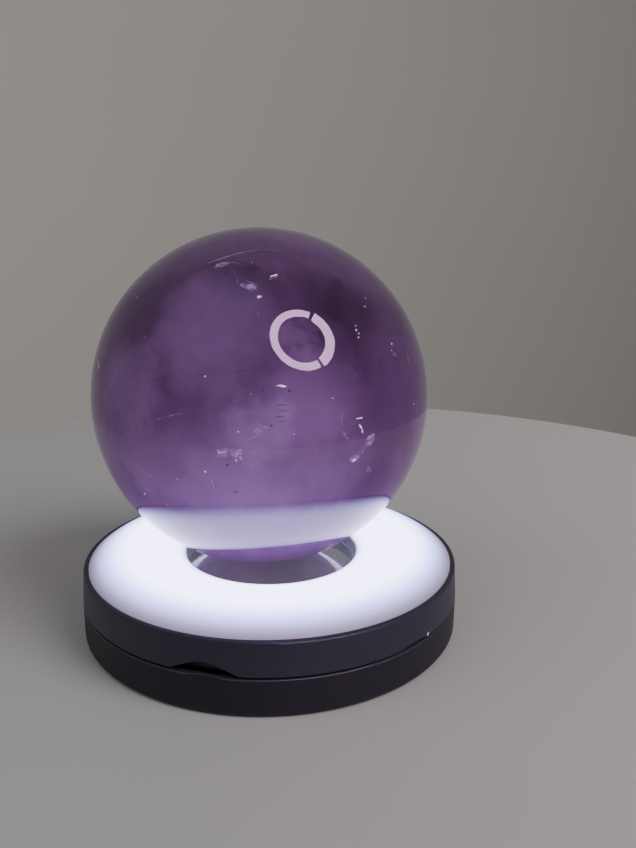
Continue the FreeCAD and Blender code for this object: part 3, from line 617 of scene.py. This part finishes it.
lens_clear, tree, shader = new_material("lens_clear")
frost = node(tree, "TexNoise", inputs={"Vector": object_place(tree), "Scale": 1500.0})
feed(tree, shader, "Roughness", node(tree, "MapRange", inputs={
    "Value": frost.outputs["Fac"], "To Min": 0.1, "To Max": 0.3}).outputs["Result"])
feed(tree, shader, "Emission Color", ramp(tree, frost.outputs["Fac"], [
    (0.3, (0.7, 0.8, 0.78)), (0.7, (0.9, 1.0, 0.97))]))
shader.inputs["Base Color"].default_value = (0.4, 0.42, 0.42, 1)
shader.inputs["Emission Strength"].default_value = 0.13
dress(lens_clear, "indicator_lens")

# ----------------------------------------------------------------------------------------------------------
# The ball. One polished sphere of clouded amethyst. Only its skin is clear: under it a lumpy, hazy heart, which
# glows a little as painted light, is painted darker towards the top and lighter below as painted light from the
# ring under it, with darker and paler patches that are partly its own clouding and partly painted shade and
# light.
# ----------------------------------------------------------------------------------------------------------
ball_low, ball_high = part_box("ball")
ball_centre = (ball_low + ball_high) / 2
ball_radius = (ball_high.z - ball_low.z) / 2
heart_radius = 0.90 * ball_radius
pit_reach = 1.1 * MM
pits = (        # azimuth, elevation, depth (mm)
    (-150, -38, 0.05), (-20, 28, 0.04), (100, 15, 0.06), (170, 40, 0.05), (35, -20, 0.05),
)


def bearing(azimuth, elevation):
    """The direction out of the ball's centre, from angles in degrees."""
    azimuth, elevation = math.radians(azimuth), math.radians(elevation)
    level = math.cos(elevation)
    return Vector((level * math.cos(azimuth), level * math.sin(azimuth), math.sin(elevation)))


amethyst, tree, shader = new_material("amethyst")
shader.inputs["Base Color"].default_value = (0.905, 0.82, 1.0, 1)
shader.inputs["IOR"].default_value = 1.544
shader.inputs["Transmission Weight"].default_value = 1.0
prints = node(tree, "TexNoise", inputs={
    "Vector": object_place(tree), "Scale": 55.0, "Detail": 6.0, "Distortion": 1.5})
feed(tree, shader, "Roughness", node(tree, "MapRange", inputs={
    "Value": prints.outputs["Fac"], "From Min": 0.55, "From Max": 0.8, "To Min": 0.0, "To Max": 0.035,
}).outputs["Result"])
absorb = node(tree, "VolumeAbsorption", inputs={"Color": (0.60, 0.36, 0.84, 1), "Density": 55.0})
tree.links.new(absorb.outputs["Volume"], tree.nodes["Material Output"].inputs["Volume"])

bpy.ops.object.select_all(action="DESELECT")
bpy.ops.mesh.primitive_ico_sphere_add(subdivisions=7, radius=ball_radius, location=ball_centre)
ball = added("amethyst_ball", amethyst)
for azimuth, elevation, depth in pits:
    outward = bearing(azimuth, elevation)
    spot = ball_centre + outward * ball_radius
    nearest = min(ball.data.vertices, key=lambda vertex: (vertex.co - spot).length).index
    edit(ball)
    close_edit()
    ball.data.vertices[nearest].select = True
    bpy.ops.object.mode_set(mode="EDIT")
    bpy.ops.transform.translate(
        value=-outward * depth * MM, use_proportional_edit=True, proportional_size=pit_reach,
        proportional_edit_falloff="SHARP",
    )
    close_edit()
smooth(ball, 180)
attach(ball, "ball")
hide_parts("ball")

patch_ragged = 0.05
patch_dark, patch_pale = (0.42, 0.34, 0.48, 1), (0.42, 0.28, 0.47, 1)

heart_haze, tree, shader = new_material("heart_haze")
centred = node(tree, "VectorMath", {"operation": "SUBTRACT"}, {
    0: object_place(tree), 1: ball_centre}).outputs["Vector"]
direction = node(tree, "VectorMath", {"operation": "NORMALIZE"}, {0: centred}).outputs["Vector"]
height = node(tree, "SeparateXYZ", inputs={"Vector": direction})
drift = node(tree, "TexNoise", inputs={
    "Vector": centred, "Scale": 34.0, "Detail": 5.0, "Roughness": 0.58, "Distortion": 0.5})
columns = node(tree, "Mapping", inputs={"Vector": centred, "Scale": (150.0, 150.0, 34.0)})
streaks = node(tree, "TexNoise", inputs={
    "Vector": columns.outputs["Vector"], "Scale": 1.0, "Detail": 4.0, "Distortion": 0.8})
ragged = node(tree, "TexNoise", inputs={"Vector": centred, "Scale": 170.0, "Detail": 5.0, "Roughness": 0.6})
uneven = node(tree, "Math", {"operation": "MULTIPLY_ADD"}, {
    0: ragged.outputs["Fac"], 1: patch_ragged, 2: -patch_ragged / 2})


def patches(places):
    """A soft-edged, ragged mask over patches given as (azimuth, elevation, spread in degrees, strength)."""
    total = 0.0
    for azimuth, elevation, spread, strength in places:
        aligned = node(tree, "VectorMath", {"operation": "DOT_PRODUCT"}, {
            0: direction, 1: bearing(azimuth, elevation)})
        rough = node(tree, "Math", {"operation": "ADD"}, {0: aligned.outputs["Value"], 1: uneven.outputs[0]})
        soft = node(tree, "MapRange", {"interpolation_type": "SMOOTHSTEP"}, {
            "Value": rough.outputs[0], "From Min": math.cos(math.radians(spread)), "From Max": 1.0,
            "To Max": strength})
        total = node(tree, "Math", {"operation": "ADD"}, {0: soft.outputs["Result"], 1: total}).outputs[0]
    return total


# Darker patches: partly the stone's own clouding, partly painted shade.
darker_and_shaded = patches((
    (-103, 51, 10, 0.55), (-93, 46, 13, 0.45), (-61, 45, 12, 0.45), (-50, 39, 13, 0.6), (-58, 20, 11, 0.45),
    (-96, 4, 10, 0.35), (-100, -8, 5, 0.4), (-47, -23, 13, 0.5), (-126, 10, 26, 0.1), (-40, 5, 22, 0.25),
    (60, 20, 24, 0.4), (130, -5, 18, 0.4), (10, -20, 16, 0.3),
))
# Paler patches: partly the stone's own clouding, partly painted light, among them the front and the place
# inside the lamp ring's reflection.
pale_and_lit = patches((
    (-108, 33, 26, 0.22), (-90, 1, 13, 0.22), (-86, -12, 38, 0.22), (-72, 12, 20, 0.12), (-126, -12, 20, 0.12),
    (-138, 12, 18, 0.15), (-74.5, 29, 10, 0.16), (-100, -22, 22, 0.2), (90, -15, 30, 0.3), (160, 30, 22, 0.2),
))
# Painted light: the heart is painted lighter towards the bottom and darker towards the top, as the ring below
# lights it.
body_lit_from_below = ramp(tree, node(tree, "MapRange", inputs={
    "Value": height.outputs["Z"], "From Min": -1.0, "From Max": 1.0}).outputs["Result"], [
    (0.0, (0.29, 0.160, 0.305)), (0.35, (0.201, 0.094, 0.207)), (0.6, (0.124, 0.050, 0.128)),
    (0.8, (0.072, 0.0245, 0.075)), (1.0, (0.140, 0.073, 0.138))])
veil = ramp(tree, drift.outputs["Fac"], [(0.3, (0.66, 0.63, 0.69)), (0.68, (1.0, 1.0, 1.0))])
fine = ramp(tree, streaks.outputs["Fac"], [(0.3, (0.84, 0.82, 0.85)), (0.7, (1.0, 1.0, 1.0))])
mottle = ramp(tree, ragged.outputs["Fac"], [
    (0.34, (0.80, 0.77, 0.82)), (0.5, (0.95, 0.94, 0.96)), (0.68, (1.0, 1.0, 1.0))])
tone = body_lit_from_below
for layer in (veil, fine, mottle):
    tone = node(tree, "Mix", {"data_type": "RGBA", "blend_type": "MULTIPLY"}, {
        0: 1.0, 6: tone, 7: layer}).outputs[2]
tone = node(tree, "Mix", {"data_type": "RGBA", "blend_type": "MULTIPLY"}, {
    0: darker_and_shaded, 6: tone, 7: patch_dark}).outputs[2]
tone = node(tree, "Mix", {"data_type": "RGBA"}, {0: pale_and_lit, 6: tone, 7: patch_pale}).outputs[2]
feed(tree, shader, "Base Color", tone)
# Painted light: the heart glows in its own colour, standing in for light scattered inside the stone.
feed(tree, shader, "Emission Color", tone)
shader.inputs["Emission Strength"].default_value = 0.62
shader.inputs["Roughness"].default_value = 0.8
shader.inputs["Specular IOR Level"].default_value = 0.1

bpy.ops.object.select_all(action="DESELECT")
bpy.ops.mesh.primitive_ico_sphere_add(subdivisions=6, radius=heart_radius, location=ball_centre)
heart = added("ball_heart", heart_haze)
cloud = bpy.data.textures.new("heart_cloud", "CLOUDS")
cloud.noise_scale = 9 * MM
lumps = heart.modifiers.new("lumps", "DISPLACE")
lumps.texture = cloud
lumps.texture_coords = "LOCAL"
lumps.mid_level = 1.0
lumps.strength = 1.2 * MM
apply_modifiers(heart)
smooth(heart, 180)
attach(heart, "ball")

# ----------------------------------------------------------------------------------------------------------
# What is caught in the ball's clear skin: healed cracks and thin threads that glow pale with painted light,
# glints and bright grains that glow as painted highlights, dark needles and specks.
# Each is a sheet, thread or grain of its own. All are placed one by one, but for sixty of the bright grains.
# ----------------------------------------------------------------------------------------------------------
# Painted light: the cracks and threads glow pale, standing in for the light their faces catch and scatter.
crack_pale, tree, shader = new_material("crack_pale")
crazed = node(tree, "TexNoise", inputs={
    "Vector": object_place(tree), "Scale": 520.0, "Detail": 6.0, "Roughness": 0.72, "Distortion": 1.4})
feed(tree, shader, "Emission Color", ramp(tree, crazed.outputs["Fac"], [
    (0.36, (0.20, 0.11, 0.27)), (0.52, (0.42, 0.27, 0.55)), (0.66, (0.85, 0.68, 1.0))]))
feed(tree, shader, "Alpha", node(tree, "MapRange", inputs={
    "Value": crazed.outputs["Fac"], "From Min": 0.40, "From Max": 0.64, "To Min": 0.0, "To Max": 0.62,
}).outputs["Result"])
shader.inputs["Base Color"].default_value = (0.6, 0.5, 0.68, 1)
shader.inputs["Emission Strength"].default_value = 0.7
shader.inputs["Roughness"].default_value = 0.5

# Painted highlight: the glints and the bright grains glow.
glint, tree, shader = new_material("crack_glint")
sparkle = node(tree, "TexNoise", inputs={"Vector": object_place(tree), "Scale": 1300.0, "Detail": 2.0})
feed(tree, shader, "Emission Color", ramp(tree, sparkle.outputs["Fac"], [
    (0.35, (0.42, 0.32, 0.50)), (0.6, (1.0, 0.92, 1.0))]))
shader.inputs["Base Color"].default_value = (0.8, 0.72, 0.85, 1)
shader.inputs["Emission Strength"].default_value = 1.1

needle_dark, tree, shader = new_material("needle_dark")
stain = node(tree, "TexNoise", inputs={"Vector": object_place(tree), "Scale": 800.0})
feed(tree, shader, "Base Color", ramp(tree, stain.outputs["Fac"], [
    (0.3, (0.07, 0.03, 0.10)), (0.7, (0.15, 0.075, 0.19))]))
shader.inputs["Roughness"].default_value = 0.7

cracks = (      # azimuth, elevation, length, width (mm), turn (degrees from level)
    (-56.3, -6.4, 5.6, 1.5, 52), (-59.8, -9.3, 1.8, 1.3, 30), (-53.3, -4.2, 2.6, 1.0, 70),
    (-99.2, -5.2, 5.2, 1.7, 8), (-96.6, -6.6, 2.2, 0.9, -20), (-52.8, -14.4, 2.0, 1.4, -15),
    (-83, 50.4, 2.0, 0.6, 24), (-89.6, 1.8, 3.2, 1.6, 15), (-110.9, 56, 3.0, 1.3, 20),
    (-94.4, 46.5, 2.8, 1.6, -10), (-38.2, 20.6, 1.2, 1.0, 0), (-63.5, -1.5, 2.2, 0.7, -50),
    (30, 10, 5.0, 1.6, 30), (75, -12, 4.2, 1.4, -35), (120, 28, 4.6, 1.5, 15), (165, -8, 4.0, 1.2, 60),
    (-160, 15, 3.6, 1.2, -20), (0, 45, 3.4, 1.3, 40), (-10, -15, 3.0, 1.0, 10),
)
glints = (      # azimuth, elevation, length, width, turn
    (-83.4, 14.5, 1.7, 0.45, -4), (-58.6, 3.3, 1.6, 0.2, 2), (-58.2, 0.6, 1.0, 0.35, -55),
    (-57.4, -0.9, 0.8, 0.3, -75), (-90, 42.5, 0.9, 0.5, 20), (-83, 50.9, 1.3, 0.3, 24),
    (-60, -10, 0.9, 0.4, 40), (55, 5, 1.6, 0.5, 30), (140, 12, 1.4, 0.5, -40),
)
threads = (     # radius (mm), then five places along the thread
    (0.09, (-123, 54), (-110, 60), (-98, 63.5), (-87, 65), (-75, 63)),
    (0.06, (-118, 52), (-112, 56), (-107, 57.5), (-102, 57), (-97, 55)),
    (0.06, (-103, 53), (-101, 50.5), (-99, 49), (-100.5, 47), (-98, 45.5)),
    (0.07, (-97.5, 47), (-95.5, 45), (-93.5, 47.5), (-92, 45.5), (-94, 44)),
    (0.06, (-96, 49), (-94, 47), (-91.5, 48.5), (-90, 46.5), (-91, 44.5)),
    (0.06, (-30.2, 20.6), (-29.6, 18), (-30.8, 16.5), (-30, 14), (-31, 12)),
    (0.08, (-122, 3), (-119.5, 4.2), (-117, 4.4), (-115.5, 5.7), (-113.5, 5.6)),
    (0.07, (-95, -2.2), (-92.5, -0.2), (-90, 0.5), (-88, 0), (-86, -1.8)),
    (0.07, (-106, -12.5), (-104.5, -14), (-106, -15.4), (-103.8, -16), (-105, -17.8)),
    (0.07, (-131.5, -14), (-129.5, -16), (-128.5, -15), (-127, -17), (-125.5, -16.6)),
    (0.06, (-133, -21.6), (-131.5, -21), (-130, -21.8), (-129, -21.4), (-127.5, -22)),
    (0.05, (-64, 6), (-65.2, 4.6), (-65.4, 3), (-64.4, 1.4), (-62.6, 0.8)),
    (0.05, (-122, 28), (-120.5, 28.4), (-119, 27.8), (-118, 28.2), (-116.5, 27.8)),
    (0.06, (20, 30), (24, 33), (29, 34), (33, 32), (36, 33)),
    (0.06, (100, -20), (104, -17), (109, -16), (112, -18), (116, -17)),
)
needles = (     # radius, then five places
    (0.09, (-85.2, 8.9), (-84.4, 9.3), (-83.6, 8.8), (-82.8, 9.1), (-82, 8.7)),
    (0.07, (-84.6, 7.3), (-83.9, 7.6), (-83.2, 7.1), (-82.4, 7.4), (-81.4, 7.0)),
    (0.09, (-86, 5.7), (-85.2, 5.3), (-84.4, 5.8), (-83.4, 5.3), (-82.8, 5.7)),
    (0.06, (-84.6, 4.2), (-83.8, 4.5), (-83, 3.9), (-82.2, 4.3), (-81.6, 3.8)),
    (0.10, (-97.6, 18.2), (-96.3, 19.2), (-95, 18.5), (-93.8, 19.4), (-92.4, 18.9)),
    (0.08, (-96.4, 14.0), (-95.4, 14.8), (-94.6, 13.9), (-93.8, 14.7), (-93, 14.1)),
    (0.12, (-62, 24), (-61.2, 21.4), (-59, 20.6), (-58.6, 18), (-56.4, 16.4)),
    (0.20, (-105, 52.6), (-103.6, 52), (-102.4, 51), (-101, 51.4), (-99.6, 50.2)),
)
dark_grains = ((-88.9, 13.4), (-81, 13), (-99.7, -9.1), (-97.8, -18.4), (-86.5, 3))
bright_grains = (
    (-44.2, 37.5), (-53.4, 31.4), (-53.8, 30), (-53.2, 28.8), (-53.9, 27.6), (-106.6, 17), (-67.5, 10.1),
    (-30.7, 3.3), (-106.8, -11.8), (-38.1, 24), (-39.5, 22), (-96.2, 1.2), (-70.6, -26), (-97, -7.6),
    (-134, -24), (-112, -30),
)

dark_grain_size = 0.24                  # mm, as are the sizes and depths below
bright_grain_sizes = (0.10, 0.20)
scattered_grains = 60
scattered_sizes = (0.04, 0.10)
sheet_depth, glint_depth, thread_depth, grain_depth = 2.6, 2.2, 2.3, 2.4
thread_swell = (0.3, 0.8, 1.2, 0.8, 0.3)
sheet_ragged, sheet_buckled = 0.17, 0.045       # random shifts (mm) in a sheet 1 mm across
sheet_flat = 0.7
grain_ragged = 0.35                     # random shift, as a share of the grain's size


def to_skin(azimuth, elevation, depth):
    return ball_centre + bearing(azimuth, elevation) * (ball_radius - depth * MM)


def joined(pieces, name, material):
    """Joins loose pieces into one, which rides on the ball."""
    bpy.ops.object.select_all(action="DESELECT")
    for piece in pieces:
        piece.select_set(True)
    bpy.context.view_layer.objects.active = pieces[0]
    bpy.ops.object.join()
    whole = pieces[0]
    whole.name = name
    whole.data.name = name
    whole.data.materials.append(material)
    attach(whole, "ball")


def sheet(seed, azimuth, elevation, length, width, turn, depth):
    """A ragged, slightly buckled sheet that lies along the ball's skin."""
    bpy.ops.object.select_all(action="DESELECT")
    facing = bearing(azimuth, elevation).to_track_quat("Z", "Y").to_matrix().to_4x4()
    bpy.ops.mesh.primitive_circle_add(vertices=11, radius=0.5 * MM, fill_type="TRIFAN")
    piece = bpy.context.object
    edit(piece)
    bpy.ops.mesh.select_all(action="SELECT")
    bpy.ops.transform.vertex_random(offset=sheet_ragged * MM, uniform=0.8, seed=seed)
    bpy.ops.mesh.subdivide(number_cuts=4, smoothness=0.4)
    bpy.ops.transform.vertex_random(offset=sheet_buckled * MM, uniform=0.6, seed=seed + 1)
    bpy.ops.transform.resize(value=(length, width, sheet_flat))
    close_edit()
    turned = facing @ Matrix.Rotation(math.radians(turn), 4, "Z")
    piece.data.transform(Matrix.Translation(to_skin(azimuth, elevation, depth)) @ turned)
    return piece


def thread(radius, places):
    """A fine thread through its places, thinner at both ends."""
    bpy.ops.object.select_all(action="DESELECT")
    bpy.ops.curve.primitive_nurbs_path_add(location=(0, 0, 0))
    piece = bpy.context.object
    for control, place, thick in zip(piece.data.splines[0].points, places, thread_swell):
        control.co = (*to_skin(*place, thread_depth), 1)
        control.radius = thick
    piece.data.bevel_depth = radius * MM
    piece.data.bevel_resolution = 1
    piece.data.resolution_u = 6
    piece.data.use_fill_caps = True
    bpy.ops.object.convert(target="MESH")
    return bpy.context.object


def grain(seed, azimuth, elevation, size):
    """A tiny angular crystal."""
    bpy.ops.object.select_all(action="DESELECT")
    bpy.ops.mesh.primitive_ico_sphere_add(
        subdivisions=1, radius=size * MM, location=to_skin(azimuth, elevation, grain_depth))
    piece = bpy.context.object
    bpy.ops.object.transform_apply(location=True, rotation=True, scale=True)
    edit(piece)
    bpy.ops.mesh.select_all(action="SELECT")
    bpy.ops.transform.vertex_random(offset=grain_ragged * size * MM, seed=seed)
    close_edit()
    return piece


scatter = random.Random(11)
joined([sheet(i, *crack, sheet_depth) for i, crack in enumerate(cracks)], "healed_cracks", crack_pale)
joined([sheet(40 + i, *flash, glint_depth) for i, flash in enumerate(glints)], "crack_glints", glint)
joined([thread(radius, places) for radius, *places in threads], "pale_threads", crack_pale)
joined([thread(radius, places) for radius, *places in needles], "dark_needles", needle_dark)
joined([grain(i, *place, dark_grain_size) for i, place in enumerate(dark_grains)], "dark_grains", needle_dark)
bright = []
for i, place in enumerate(bright_grains):
    bright.append(grain(20 + i, *place, scatter.uniform(*bright_grain_sizes)))
for i in range(scattered_grains):
    elevation = math.degrees(math.asin(scatter.uniform(-0.75, 0.9)))
    bright.append(grain(100 + i, scatter.uniform(-180, 180), elevation, scatter.uniform(*scattered_sizes)))
joined(bright, "bright_grains", glint)
